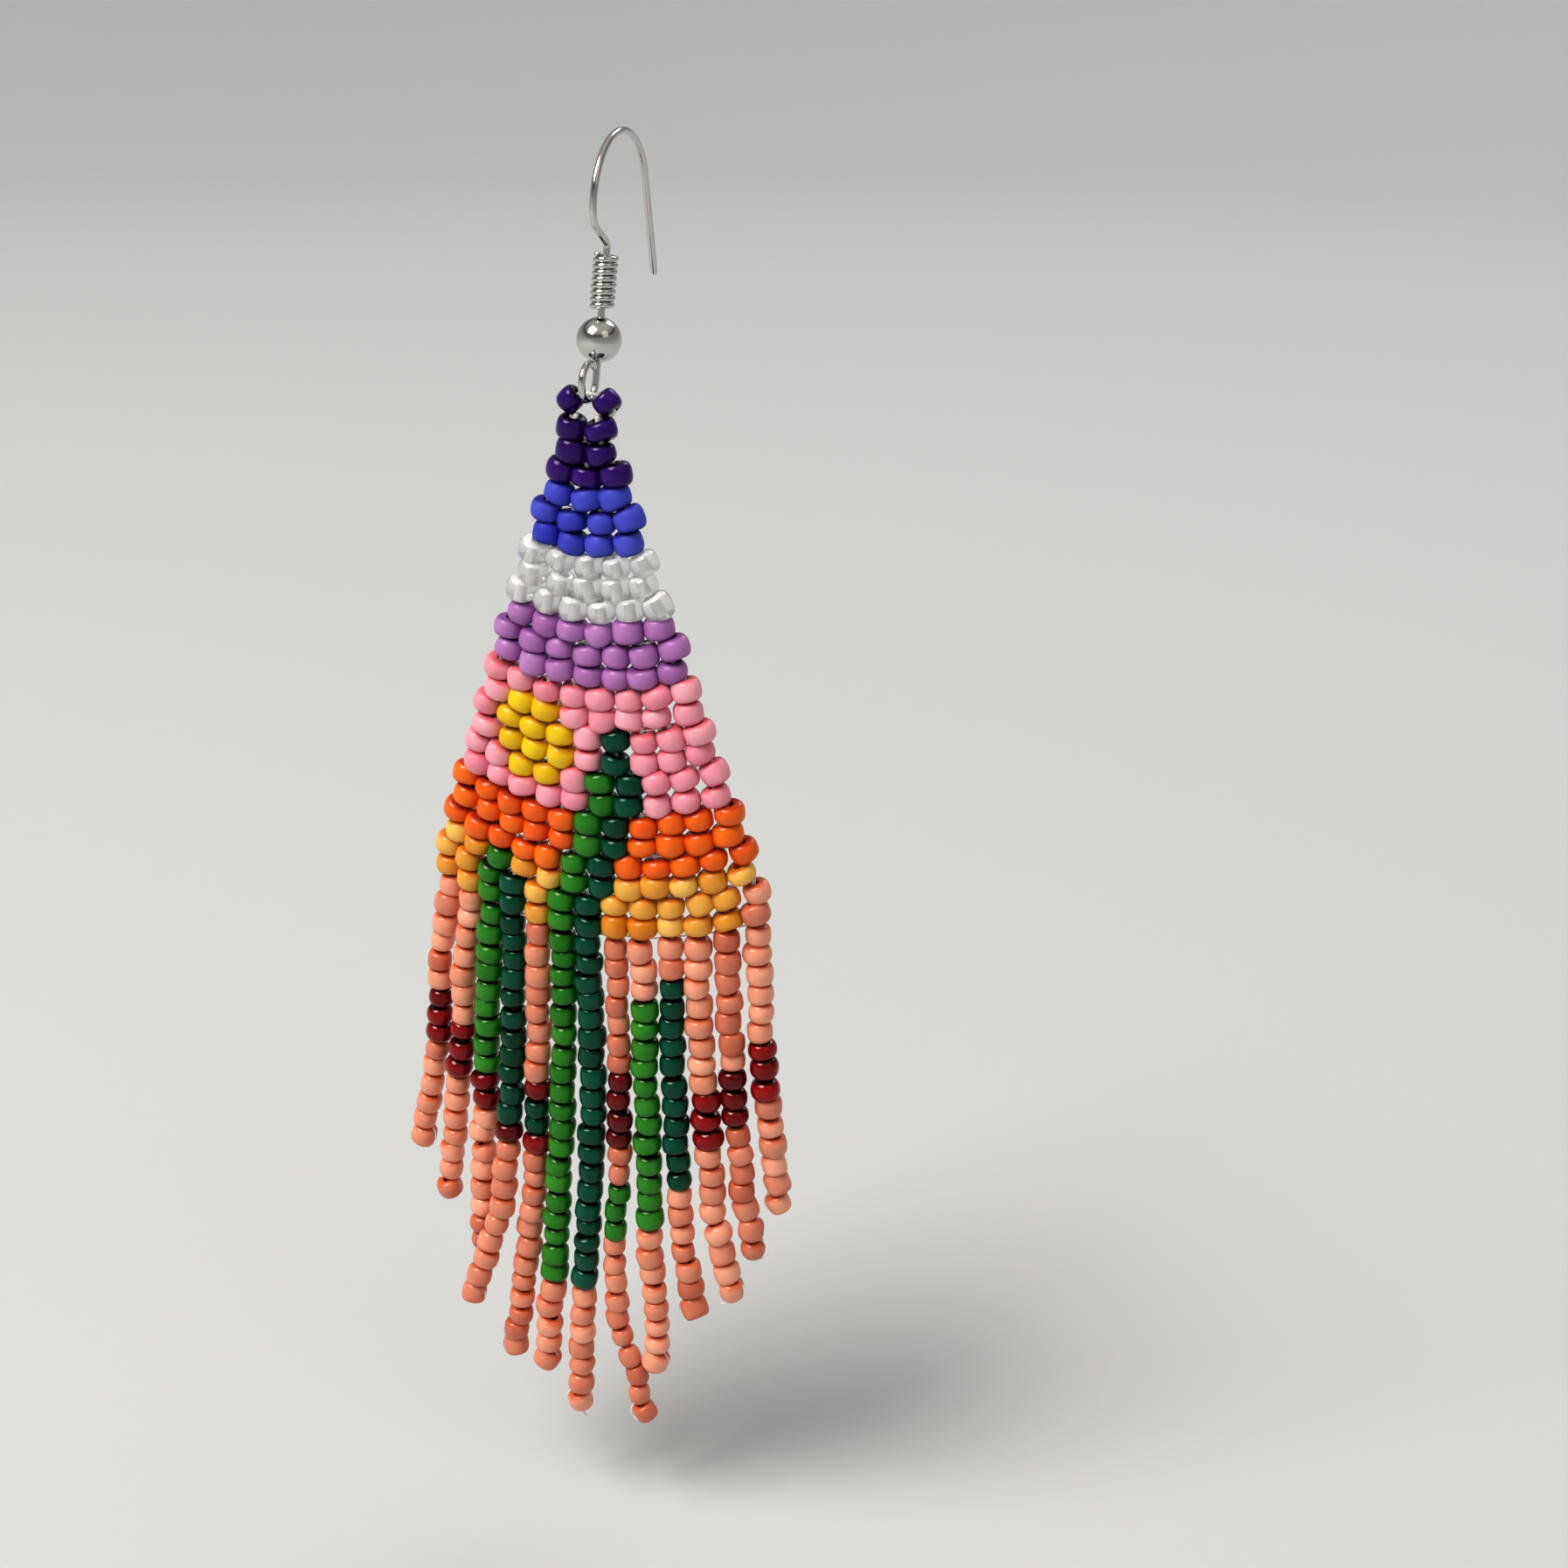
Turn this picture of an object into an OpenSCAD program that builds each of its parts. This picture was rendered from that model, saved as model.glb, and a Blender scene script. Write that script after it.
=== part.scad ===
// Beaded fringe earring: a French hook, a brick-stitch panel of seed beads and a 13-strand fringe.
// The origin is the inside top of the hook's arch. The front faces -Y and the drop hangs down along -Z.

/* [Hook] */
// Thickness of the hook's wire
wire_d = 0.5; // [0.4:0.05:0.6]
// Radius of the arch that goes through the ear, to the wire's middle
arch_r = 4.6; // [4.4:0.1:5]
// How far the stem leans back, in degrees
stem_lean = 13; // [8:1:16]
// Length of the straight tail behind the ear
tail_length = 7; // [6:0.5:8]
// Outer width of the eye that carries the drop
eye_d = 2.9; // [2.8:0.1:3.2]
// Width of the ball on the stem
ball_d = 3; // [2.6:0.1:3.1]
// Outer width of the wound coil
coil_d = 1.7; // [1.6:0.1:1.9]
// Length of the wound coil
coil_length = 3.8; // [3.6:0.1:4]
// Turns in the coil
coil_turns = 8; // [7:1:8]

/* [Beads] */
// Spacing of the beads side by side
bead_width = 2; // [1.9:0.05:2.2]
// Height of one bead along its thread
bead_height = 1.55; // [1.5:0.05:1.8]
// Width of the two loop beads beside the eye
loop_bead_d = 1.8; // [1.7:0.05:1.85]
// Length of the two loop beads
loop_bead_length = 1.35; // [1.2:0.05:1.4]
// Lean of the loop beads towards the eye, in degrees
loop_bead_lean = 45; // [43:1:47]

/* [Panel] */
// Radius that the panel curves round
panel_curve = 32; // [26:1:60]
// How far the ends of the rows rise, as a share of a full fan
row_rise = 0.5; // [0.2:0.05:0.6]

/* [Fringe] */
// Thickness of a strand
strand_d = 1.7; // [1.4:0.05:1.75]

/* [Hidden] */

silver = "#C9CBCF";
purple = "#3B1268";
pink = "#F79BB0";
coral = "#F08A68";
light_green = "#2E8B25";
dark_green = "#0B5A45";
clear_thread = "#E6E6EA";

wire_r = wire_d / 2;
eye_r = eye_d / 2 - wire_r;
ball_r = ball_d / 2;
running_gap = 0.05;
joint_swell = 1.05;
joint_half = 0.3;
joint_short = 0.08;
round_fn = 48;

// The wire is bent from the top of the arch, once forward and down to the eye and once back to the tail.
// Columns: straight before the bend, radius of the bend, turn of the bend.
brow_r = 1.4;
kink_r = 0.5;
kink_turn = 56;
brow_length = 1.8;
ball_from_eye = 2.8;
coil_from_ball = ball_r + 0.4;
coil_to_kink = 0.2;
stem_length = ball_from_eye + coil_from_ball + coil_length + coil_to_kink;
eye_turn = 300;
arch_back_turn = 75;
front_bends = [
    [0, arch_r, 90],
    [0, brow_r, kink_turn],
    [brow_length, kink_r, -kink_turn - stem_lean],
    [stem_length, eye_r, -eye_turn]
];
back_bends = [
    [0, arch_r, -arch_back_turn],
    [tail_length, 0, 0]
];
arch_top = [0, wire_r, 180];

// Pose [y, z, heading] after a straight and a bend.
function forward(pose, s) = [pose.x + s * cos(pose.z), pose.y + s * sin(pose.z), pose.z];
function bend(pose, r, turn) =
    let (side = sign(turn), h = pose.z)
    [
        pose.x + side * r * (sin(h + turn) - sin(h)),
        pose.y - side * r * (cos(h + turn) - cos(h)),
        h + turn
    ];
function walk(pose, rows, count) =
    count == 0 ? pose : bend_row(walk(pose, rows, count - 1), rows[count - 1]);
function bend_row(pose, row) = bend(forward(pose, row[0]), row[1], row[2]);

stem_top = walk(arch_top, front_bends, 3);
stem_foot = forward(stem_top, stem_length);
ball_pose = forward(stem_foot, -ball_from_eye);
coil_pose = forward(ball_pose, -coil_from_ball);
eye_centre = [
    stem_foot.x + eye_r * sin(stem_foot.z),
    stem_foot.y - eye_r * cos(stem_foot.z)
];

// The drop swings about the thread where it lies on the inside of the eye.
thread_r = 0.15;
pivot = [0, eye_centre.x, eye_centre.y - eye_r + wire_r + running_gap + thread_r];

// Loop beads and thread, measured from the pivot.
loop_bead_x = 1.27;
loop_bead_drop = 0.45;
loop_bead_bore = 0.45;
loop_bead_round = 0.4;
thread_arch_r = 2;
thread_arch_turn = 60;
thread_end_r = 0.3;
thread_leg = 0.24;
thread_bends = [
    [0, thread_arch_r, -thread_arch_turn],
    [0, thread_end_r, thread_arch_turn - 90],
    [thread_leg, 0, 0]
];

// The panel's first bead row lies this far below and before the pivot.
panel_drop = 2.35;
panel_forward = 0.35;
panel_top = pivot - [0, panel_forward, panel_drop];
base_beads = 13;
first_beads = 2;
column_r = bead_width / 2 + 0.04;
column_lap = 0.6;
apex_height = 3.2;

// Place on the curved panel: across in mm from its middle, down in beads from its first row.
function row_end_rise(across, down) =
    row_rise * across * across / (down * bead_height + apex_height);
function panel_place(across, down) =
    let (turn = across / panel_curve * 180 / PI)
    panel_top + [
        panel_curve * sin(turn),
        panel_curve * (1 - cos(turn)),
        row_end_rise(across, down) - down * bead_height
    ];
function across_of(column, beads) = (column - (beads + 1) / 2) * bead_width;

// Columns: beads, sideways sway at one, two and three quarters and at the end, backward sway at the end, colour.
fringe = [
    [15, -0.9, -1.3, -2.2, -3.2, 0.6, coral],
    [17, -0.8, -1.1, -1.8, -2.5, 0.6, coral],
    [19, -0.6, -0.8, -1.2, -1.4, 0.3, light_green],
    [21, -0.2, -0.5, -1.1, -3.4, -1.5, dark_green],
    [24, -0.1, -0.4, -1.3, -2.4, 0.2, coral],
    [24, 0, -0.3, -0.8, -1.7, 0, light_green],
    [26, 0.2, 0.1, -0.5, -0.8, 0, dark_green],
    [26, 0.3, 0.3, 0.1, 2.6, 0, coral],
    [23, 0.3, 0.5, 0.9, 1.3, 0, light_green],
    [20, 0.3, 0.6, 1.1, 2.1, 0.2, dark_green],
    [19, 0.3, 0.7, 1.4, 3, 0.4, coral],
    [17, 0.4, 0.8, 1.5, 2.6, 0.4, coral],
    [15, 0.5, 1, 1.6, 2.2, 0.6, coral]
];
strand_sides = 8;
ring_step = 4.5;
base_row = 2 * (base_beads - first_beads) + 1.5;
strand_gap = 0.12;

// Smooth curve through the five sways of a strand, at a share of its length.
function quarter(sways, k) = sways[min(max(k, 0), 4)];
function sway_at(sways, share) =
    let (
        k = min(floor(share * 4), 3),
        t = share * 4 - k,
        a = quarter(sways, k),
        b = quarter(sways, k + 1),
        slope_a = (b - quarter(sways, k - 1)) / 2,
        slope_b = (quarter(sways, k + 2) - a) / 2
    )
    a + t * slope_a + t * t * (3 * (b - a) - 2 * slope_a - slope_b) + t * t * t * (2 * (a - b) + slope_a + slope_b);
function strand_point(row, start, share) =
    let (sways = [0, row[1], row[2], row[3], row[4]])
    start + [
        sway_at(sways, share),
        row[5] * share * share,
        -strand_gap - (row[0] * bead_height - strand_gap) * share
    ];

// Round wire in the XY plane: it starts at the origin along +X and follows the rows of bends.
// Its stretches stop just short of each other, inside a short collar that is a touch thicker than the wire.
module bent_wire(rows, r, k = 0) {
    if (k < len(rows)) {
        straight = rows[k][0];
        bend_r = rows[k][1];
        turn = rows[k][2];
        side = sign(turn);
        short = r * joint_short;
        if (straight > 0) {
            translate([short, 0, 0]) rotate([0, 90, 0]) cylinder(r = r, h = straight - 2 * short, $fn = round_fn);
            if (turn != 0)
                translate([straight, 0, 0]) joint_collar(r);
        }
        translate([straight, side * bend_r, 0]) {
            if (turn != 0)
                wire_arc(bend_r, turn, r, short);
            rotate([0, 0, turn]) translate([0, -side * bend_r, 0]) {
                if (k + 1 < len(rows))
                    joint_collar(r);
                bent_wire(rows, r, k + 1);
            }
        }
    }
}

module joint_collar(r) {
    rotate([0, 90, 0]) cylinder(r = r * joint_swell, h = 2 * r * joint_half, center = true, $fn = round_fn);
}

module wire_arc(bend_r, turn, r, short) {
    short_turn = short / bend_r * 180 / PI;
    first = turn > 0 ? -90 : 90 + turn;
    rotate([0, 0, first + short_turn]) rotate_extrude(angle = abs(turn) - 2 * short_turn, $fn = round_fn)
        translate([bend_r, 0]) circle(r = r, $fn = round_fn);
}

// Tube through a list of points that run down.
module tube(points, r, sides) {
    count = len(points);
    corners = [
        for (p = points, s = [0 : sides - 1])
            p + r * [cos(360 * s / sides), sin(360 * s / sides), 0]
    ];
    walls = [
        for (k = [0 : count - 2], s = [0 : sides - 1])
            let (t = (s + 1) % sides)
            [k * sides + s, k * sides + t, (k + 1) * sides + t, (k + 1) * sides + s]
    ];
    top = [for (s = [sides - 1 : -1 : 0]) s];
    bottom = [for (s = [0 : sides - 1]) (count - 1) * sides + s];
    polyhedron(points = corners, faces = concat(walls, [top, bottom]));
}

// Places its children on the stem: +Z up the stem, from a pose on the wire.
module on_stem(pose) {
    translate([0, pose.x, pose.y]) rotate([-stem_lean, 0, 0]) children();
}

module ear_hook() {
    color(silver) {
        translate([0, 0, wire_r]) rotate([90, 0, 90]) joint_collar(wire_r);
        translate([0, 0, wire_r]) rotate([90, 0, 90]) bent_wire(back_bends, wire_r);
        translate([0, 0, wire_r]) rotate([90, 0, 90]) rotate([0, 0, 180]) bent_wire(front_bends, wire_r);
    }
}

module hook_ball() {
    color(silver) on_stem(ball_pose) difference() {
        sphere(d = ball_d, $fn = round_fn);
        cylinder(r = wire_r + running_gap, h = 2 * ball_d, center = true, $fn = round_fn);
    }
}

module hook_coil() {
    winding_r = 0.205;
    sides = 6;
    steps = 14;
    middle_r = coil_d / 2 - winding_r;
    rise = (coil_length - 2 * winding_r) / coil_turns;
    rings = coil_turns * steps;
    corners = [
        for (k = [0 : rings], s = [0 : sides - 1])
            let (
                around = 360 * k / steps,
                out = middle_r + winding_r * cos(360 * s / sides),
                up = winding_r * (1 + sin(360 * s / sides)) + rise * k / steps
            )
            [out * cos(around), out * sin(around), up]
    ];
    walls = [
        for (k = [0 : rings - 1], s = [0 : sides - 1])
            let (t = (s + 1) % sides)
            [k * sides + s, k * sides + t, (k + 1) * sides + t, (k + 1) * sides + s]
    ];
    first = [for (s = [sides - 1 : -1 : 0]) s];
    last = [for (s = [0 : sides - 1]) rings * sides + s];
    color(silver) on_stem(coil_pose) polyhedron(points = corners, faces = concat(walls, [first, last]));
}

// Drilled bead, round at its outer edges, standing on its hole.
module drilled_bead(d, length, bore, edge) {
    flat = d / 2 - edge;
    difference() {
        rotate_extrude($fn = round_fn) {
            translate([0, -length / 2]) square([flat, length]);
            translate([0, edge - length / 2]) square([d / 2, length - 2 * edge]);
            for (side = [-1, 1])
                translate([flat, side * (length / 2 - edge)]) intersection() {
                    circle(r = edge, $fn = round_fn);
                    translate([0, -edge]) square(2 * edge);
                }
        }
        cylinder(r = bore, h = 2 * length, center = true, $fn = round_fn);
    }
}

module loop_bead(side) {
    color(purple) translate(pivot + [side * loop_bead_x, 0, -loop_bead_drop])
        rotate([0, -side * loop_bead_lean, 0])
            drilled_bead(loop_bead_d, loop_bead_length, loop_bead_bore, loop_bead_round);
}

module loop_thread() {
    color(clear_thread) translate(pivot) {
        joint_collar(thread_r);
        rotate([90, 0, 0]) bent_wire(thread_bends, thread_r);
        rotate([90, 0, 180]) bent_wire(thread_bends, thread_r);
    }
}

// Brick stitch, two beads to a stitch: each row has one stitch more and lies half a bead to the side.
module bead_panel() {
    color(pink) for (beads = [first_beads : base_beads], column = [1 : beads]) {
        down = 2 * (beads - first_beads) + 0.5;
        lap = beads == base_beads ? 0 : column_lap;
        translate(panel_place(across_of(column, beads), down) - [0, 0, bead_height + lap])
            cylinder(r = column_r, h = 2 * bead_height + lap, $fn = round_fn);
    }
}

module strand(n) {
    row = fringe[n - 1];
    start = panel_place(across_of(n, base_beads), base_row);
    rings = ceil(row[0] * bead_height / ring_step);
    color(row[6]) tube([for (k = [0 : rings]) strand_point(row, start, k / rings)], strand_d / 2, strand_sides);
}

ear_hook();
hook_coil();
hook_ball();
loop_thread();
loop_bead(-1);  // loop_bead_left
loop_bead(1);  // loop_bead_right
bead_panel();
for (n = [1 : 13])
    strand(n);
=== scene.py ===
import math
import random
import bpy
import numpy as np
from mathutils import Matrix, Vector


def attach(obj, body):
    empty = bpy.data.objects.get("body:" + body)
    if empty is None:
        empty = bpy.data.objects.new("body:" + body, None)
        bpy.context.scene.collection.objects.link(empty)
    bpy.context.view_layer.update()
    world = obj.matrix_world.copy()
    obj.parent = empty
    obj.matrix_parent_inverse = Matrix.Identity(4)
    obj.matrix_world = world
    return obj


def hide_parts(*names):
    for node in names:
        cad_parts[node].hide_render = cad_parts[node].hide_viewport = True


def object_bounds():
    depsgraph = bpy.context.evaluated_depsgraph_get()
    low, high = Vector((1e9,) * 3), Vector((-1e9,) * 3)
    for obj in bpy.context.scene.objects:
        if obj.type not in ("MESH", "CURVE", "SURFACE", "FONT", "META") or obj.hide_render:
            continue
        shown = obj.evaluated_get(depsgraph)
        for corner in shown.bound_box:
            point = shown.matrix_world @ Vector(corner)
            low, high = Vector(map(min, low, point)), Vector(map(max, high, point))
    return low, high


# A beaded fringe earring: silver French hook, brick-stitched triangle of seed beads, thirteen strands.
# Lengths are in millimetres in the tables and paths, and turn to metres when a mesh is made.

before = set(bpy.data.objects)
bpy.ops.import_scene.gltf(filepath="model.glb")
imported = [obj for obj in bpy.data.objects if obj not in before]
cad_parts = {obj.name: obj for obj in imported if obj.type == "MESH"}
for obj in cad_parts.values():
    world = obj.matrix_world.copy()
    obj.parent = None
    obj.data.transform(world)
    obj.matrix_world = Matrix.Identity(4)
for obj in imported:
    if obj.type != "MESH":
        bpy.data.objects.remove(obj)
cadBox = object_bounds()
mm = 0.001
random.seed(11)
print("frame loaded:", len(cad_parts), "nodes")


# Camera

cameraSetup = {
    "lens": 59.2,            # mm on a 36 mm sensor
    "azimuth": 18.1,         # degrees to the right of straight ahead
    "elevation": 21.6,       # degrees above the earring
    "roll": 1.5,
    "place": (64.6, -159.65, 22.8),
}


def makeCamera(setup):
    turn, lift, roll = (math.radians(setup[k]) for k in ("azimuth", "elevation", "roll"))
    back = Vector((math.sin(turn) * math.cos(lift), -math.cos(turn) * math.cos(lift), math.sin(lift)))
    right = Vector((math.cos(turn), math.sin(turn), 0))
    up = back.cross(right)
    rolledRight = right * math.cos(roll) + up * math.sin(roll)
    rolledUp = up * math.cos(roll) - right * math.sin(roll)
    data = bpy.data.cameras.new("camera")
    data.lens = setup["lens"]
    data.sensor_width = 36
    data.clip_start = 0.005
    data.clip_end = 20
    camera = bpy.data.objects.new("camera", data)
    bpy.context.scene.collection.objects.link(camera)
    axes = Matrix((rolledRight, rolledUp, back)).transposed().to_4x4()
    camera.matrix_world = Matrix.Translation(Vector(setup["place"]) * mm) @ axes
    bpy.context.scene.camera = camera


makeCamera(cameraSetup)


# Colour and node helpers

def hexColour(text):
    channels = [int(text[i:i + 2], 16) / 255 for i in (1, 3, 5)]
    linear = [c / 12.92 if c <= 0.04045 else ((c + 0.055) / 1.055) ** 2.4 for c in channels]
    return (*linear, 1.0)


def addNode(tree, kind, settings=None, links=None):
    node = tree.nodes.new(kind)
    for key, value in (settings or {}).items():
        if isinstance(key, int) or key in node.inputs:
            node.inputs[key].default_value = value
        else:
            setattr(node, key, value)
    for key, source in (links or {}).items():
        tree.links.new(source, node.inputs[key])
    return node


def newMaterial(name):
    material = bpy.data.materials.new(name)
    material.use_nodes = True
    material.node_tree.nodes.clear()
    return material, material.node_tree


def perMetre(sizeMm):
    return 1 / (sizeMm * mm)  # a noise scale that gives grains of that size


# Materials

# Drawn and fire-polished glass seed beads. Two tones a colour, because no two beads of a batch are
# quite alike, and a third at the bead's ends: painted shade where neighbours meet, and on the pale
# colours a painted glow of light caught between them. glow is light that soaks into opal glass, gloss
# is the fire polish on top, clear is how much passes through, paintedCrescent is how much of that is
# lost at the ends (a painted highlight), bend is the glass's IOR where it isn't the usual one, shine and
# tint are the strength and colour of its own reflection, grain is how matt its skin is, and vary is how
# far the beads differ in tone where that is more than usual.
beadLooks = {
    "purpleGlass": {"tones": ("#1E0648", "#4A1A84", "#0C0220"), "roughness": 0.32,
                    "gloss": 0.4, "shine": 0.35, "tint": "#C4B0F0"},
    "blueGlass": {"tones": ("#3840B0", "#6068D0", "#20247C"), "roughness": 0.5,
                  "glow": 0.1, "grain": 0.6, "tint": "#C8CCF4"},
    # crystal: its ends are whitened as a painted highlight, standing in for the crescents of light on
    # the rims
    "crystalGlass": {"tones": ("#F4F2F2", "#FFFFFF", "#FFFFFF"), "roughness": 0.2,
                     "gloss": 1.0, "clear": 0.86, "paintedCrescent": 0.6, "bend": 1.3, "shine": 1.0},
    "lavenderGlass": {"tones": ("#A46AA8", "#C694CC", "#84508E"), "roughness": 0.4,
                      "glow": 0.3, "gloss": 0.1},
    "pinkGlass": {"tones": ("#E28C9E", "#F6BAC6", "#D8707C"), "roughness": 0.4,
                  "glow": 0.35, "gloss": 0.1},
    "yellowGlass": {"tones": ("#DCB000", "#F0D00C", "#C08400"), "roughness": 0.4,
                    "glow": 0.2, "gloss": 0.1},
    "orangeGlass": {"tones": ("#E25A04", "#F68210", "#B03600"), "roughness": 0.34,
                    "glow": 0.2, "gloss": 0.2},
    "goldenGlass": {"tones": ("#D88A10", "#F2C66A", "#CC7610"), "roughness": 0.34,
                    "glow": 0.3, "gloss": 0.15, "vary": 0.3},
    "coralGlass": {"tones": ("#C6745A", "#F0B096", "#CC6E4A"), "roughness": 0.34,
                   "glow": 0.5, "gloss": 0.2, "vary": 0.22},
    "lightGreenGlass": {"tones": ("#1C6C1C", "#409430", "#05240A"), "roughness": 0.32,
                        "gloss": 0.45, "shine": 0.35, "tint": "#C4F0A8"},
    "darkGreenGlass": {"tones": ("#003A26", "#065A46", "#000F09"), "roughness": 0.32,
                       "gloss": 0.45, "shine": 0.35, "tint": "#90E8CC"},
    "redGlass": {"tones": ("#60060C", "#9A101A", "#280103"), "roughness": 0.18,
                 "gloss": 0.5, "shine": 0.4, "tint": "#FFB8AC"},
}
# What the glass of all the beads has in common.
glassSkin = {
    "bend": 1.51,
    "cloudSize": 1.1,        # of the clouds in the glass's colour
    "cloudShift": 0.5,       # how far a cloud goes from one tone to the other
    "peelSize": 0.22,        # of the faint orange peel that fire polishing leaves
    "peelDepth": 0.02,
    "peel": 0.25,            # how much it shows, where a colour has no grain of its own
    "smoother": 0.05,        # how far rubbed and dull spots differ in roughness
    "duller": 0.07,
    "soakReach": (1.0, 0.5, 0.35),  # red light goes furthest into the glass
    "soakDepth": 0.6,
    "polishRoughness": 0.08,
}


def beadGlass(name, look):
    material, tree = newMaterial(name)
    place = addNode(tree, "ShaderNodeTexCoord").outputs["Object"]
    tone = addNode(tree, "ShaderNodeAttribute", {"attribute_name": "beadTone"})
    cloud = addNode(tree, "ShaderNodeTexNoise",
                    {"Scale": perMetre(glassSkin["cloudSize"]), "Detail": 2.0}, {"Vector": place})
    reach = glassSkin["cloudShift"]
    shift = addNode(tree, "ShaderNodeMath", {"operation": "MULTIPLY_ADD", 1: reach, 2: -reach / 2},
                    {0: cloud.outputs["Fac"]})
    share = addNode(tree, "ShaderNodeMath", {"operation": "ADD", "use_clamp": True},
                    {0: tone.outputs["Fac"], 1: shift.outputs[0]})
    darkTone, paleTone, endShadeGlowTone = look["tones"]
    body = addNode(tree, "ShaderNodeMix",
                   {"data_type": "RGBA", 6: hexColour(darkTone), 7: hexColour(paleTone)},
                   {0: share.outputs[0]})
    # the tone at the ends is painted shade where neighbouring beads meet, and on pale colours a painted
    # glow of light between them
    endShadeGlow = addNode(tree, "ShaderNodeAttribute", {"attribute_name": "beadEndShadeGlow"})
    colour = addNode(tree, "ShaderNodeMix", {"data_type": "RGBA", 7: hexColour(endShadeGlowTone)},
                     {0: endShadeGlow.outputs["Fac"], 6: body.outputs[2]})
    peel = addNode(tree, "ShaderNodeTexNoise",
                   {"Scale": perMetre(glassSkin["peelSize"]), "Detail": 1.0}, {"Vector": place})
    grain = look.get("grain", glassSkin["peel"])
    bump = addNode(tree, "ShaderNodeBump", {"Strength": grain, "Distance": glassSkin["peelDepth"] * mm},
                   {"Height": peel.outputs["Fac"]})
    rub = addNode(tree, "ShaderNodeMapRange",
                  {"To Min": look["roughness"] - glassSkin["smoother"],
                   "To Max": look["roughness"] + glassSkin["duller"]},
                  {"Value": cloud.outputs["Fac"]})
    glass = addNode(tree, "ShaderNodeBsdfPrincipled", {
        "IOR": look.get("bend", glassSkin["bend"]),
        "Transmission Weight": look.get("clear", 0.0),
        "Subsurface Weight": look.get("glow", 0.0),
        "Subsurface Radius": glassSkin["soakReach"],
        "Subsurface Scale": glassSkin["soakDepth"] * mm,
        "Coat Weight": look.get("gloss", 0.0),
        "Coat Roughness": glassSkin["polishRoughness"],
        "Specular IOR Level": look.get("shine", 0.5),
        "Specular Tint": hexColour(look.get("tint", "#FFFFFF")),
    }, {"Base Color": colour.outputs[2], "Roughness": rub.outputs[0], "Normal": bump.outputs[0]})
    if "paintedCrescent" in look:
        # clear beads are made white and milky at their ends, a painted highlight for the pale crescents
        # that light draws on their rims
        crescentLoss = -look["paintedCrescent"] * look["clear"]
        clear = addNode(tree, "ShaderNodeMath", {"operation": "MULTIPLY_ADD", 1: crescentLoss, 2: look["clear"]},
                        {0: endShadeGlow.outputs["Fac"]})
        tree.links.new(clear.outputs[0], glass.inputs["Transmission Weight"])
    addNode(tree, "ShaderNodeOutputMaterial", links={"Surface": glass.outputs[0]})
    return material


silverLook = {
    "colour": "#CECDCA",
    "polish": 0.07,          # roughness where it is bright
    "haze": 0.18,            # and where fingers have dulled it
    "hazeSize": 1.6,
    "scuffSize": 0.12,
    "scuffDepth": 0.01,
}


def polishedSilver(name, settings):
    # drawn wire, tumbled bright: mirror-like with soft scuffs and a little handling haze
    material, tree = newMaterial(name)
    place = addNode(tree, "ShaderNodeTexCoord").outputs["Object"]
    haze = addNode(tree, "ShaderNodeTexNoise",
                   {"Scale": perMetre(settings["hazeSize"]), "Detail": 3.0}, {"Vector": place})
    rub = addNode(tree, "ShaderNodeMapRange", {"To Min": settings["polish"], "To Max": settings["haze"]},
                  {"Value": haze.outputs["Fac"]})
    scuffs = addNode(tree, "ShaderNodeTexNoise",
                     {"Scale": perMetre(settings["scuffSize"]), "Detail": 2.0}, {"Vector": place})
    bump = addNode(tree, "ShaderNodeBump", {"Strength": 0.15, "Distance": settings["scuffDepth"] * mm},
                   {"Height": scuffs.outputs["Fac"]})
    silver = addNode(tree, "ShaderNodeBsdfPrincipled", {
        "Base Color": hexColour(settings["colour"]),
        "Metallic": 1.0,
    }, {"Roughness": rub.outputs[0], "Normal": bump.outputs[0]})
    addNode(tree, "ShaderNodeOutputMaterial", links={"Surface": silver.outputs[0]})
    return material


threadLook = {
    "colour": "#FFFFFF",
    "clear": 0.2,
    "bend": 1.53,
    "polish": 0.12,
    "haze": 0.3,
    "streakSize": 0.3,       # of the streaks where the beads have rubbed it
}


def nylonThread(name, settings):
    # extruded nylon line: water-clear, so it only shows as small pale glints between the beads
    material, tree = newMaterial(name)
    place = addNode(tree, "ShaderNodeTexCoord").outputs["Object"]
    streak = addNode(tree, "ShaderNodeTexNoise",
                     {"Scale": perMetre(settings["streakSize"]), "Detail": 2.0}, {"Vector": place})
    rub = addNode(tree, "ShaderNodeMapRange", {"To Min": settings["polish"], "To Max": settings["haze"]},
                  {"Value": streak.outputs["Fac"]})
    nylon = addNode(tree, "ShaderNodeBsdfPrincipled", {
        "Base Color": hexColour(settings["colour"]),
        "IOR": settings["bend"],
        "Transmission Weight": settings["clear"],
    }, {"Roughness": rub.outputs[0]})
    addNode(tree, "ShaderNodeOutputMaterial", links={"Surface": nylon.outputs[0]})
    return material


beadColours = list(beadLooks)
beadMaterials = [beadGlass(name, look) for name, look in beadLooks.items()]
silverMaterial = polishedSilver("polishedSilver", silverLook)
threadMaterial = nylonThread("nylonThread", threadLook)
print("materials made:", len(bpy.data.materials))


# Mesh helpers

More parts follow.
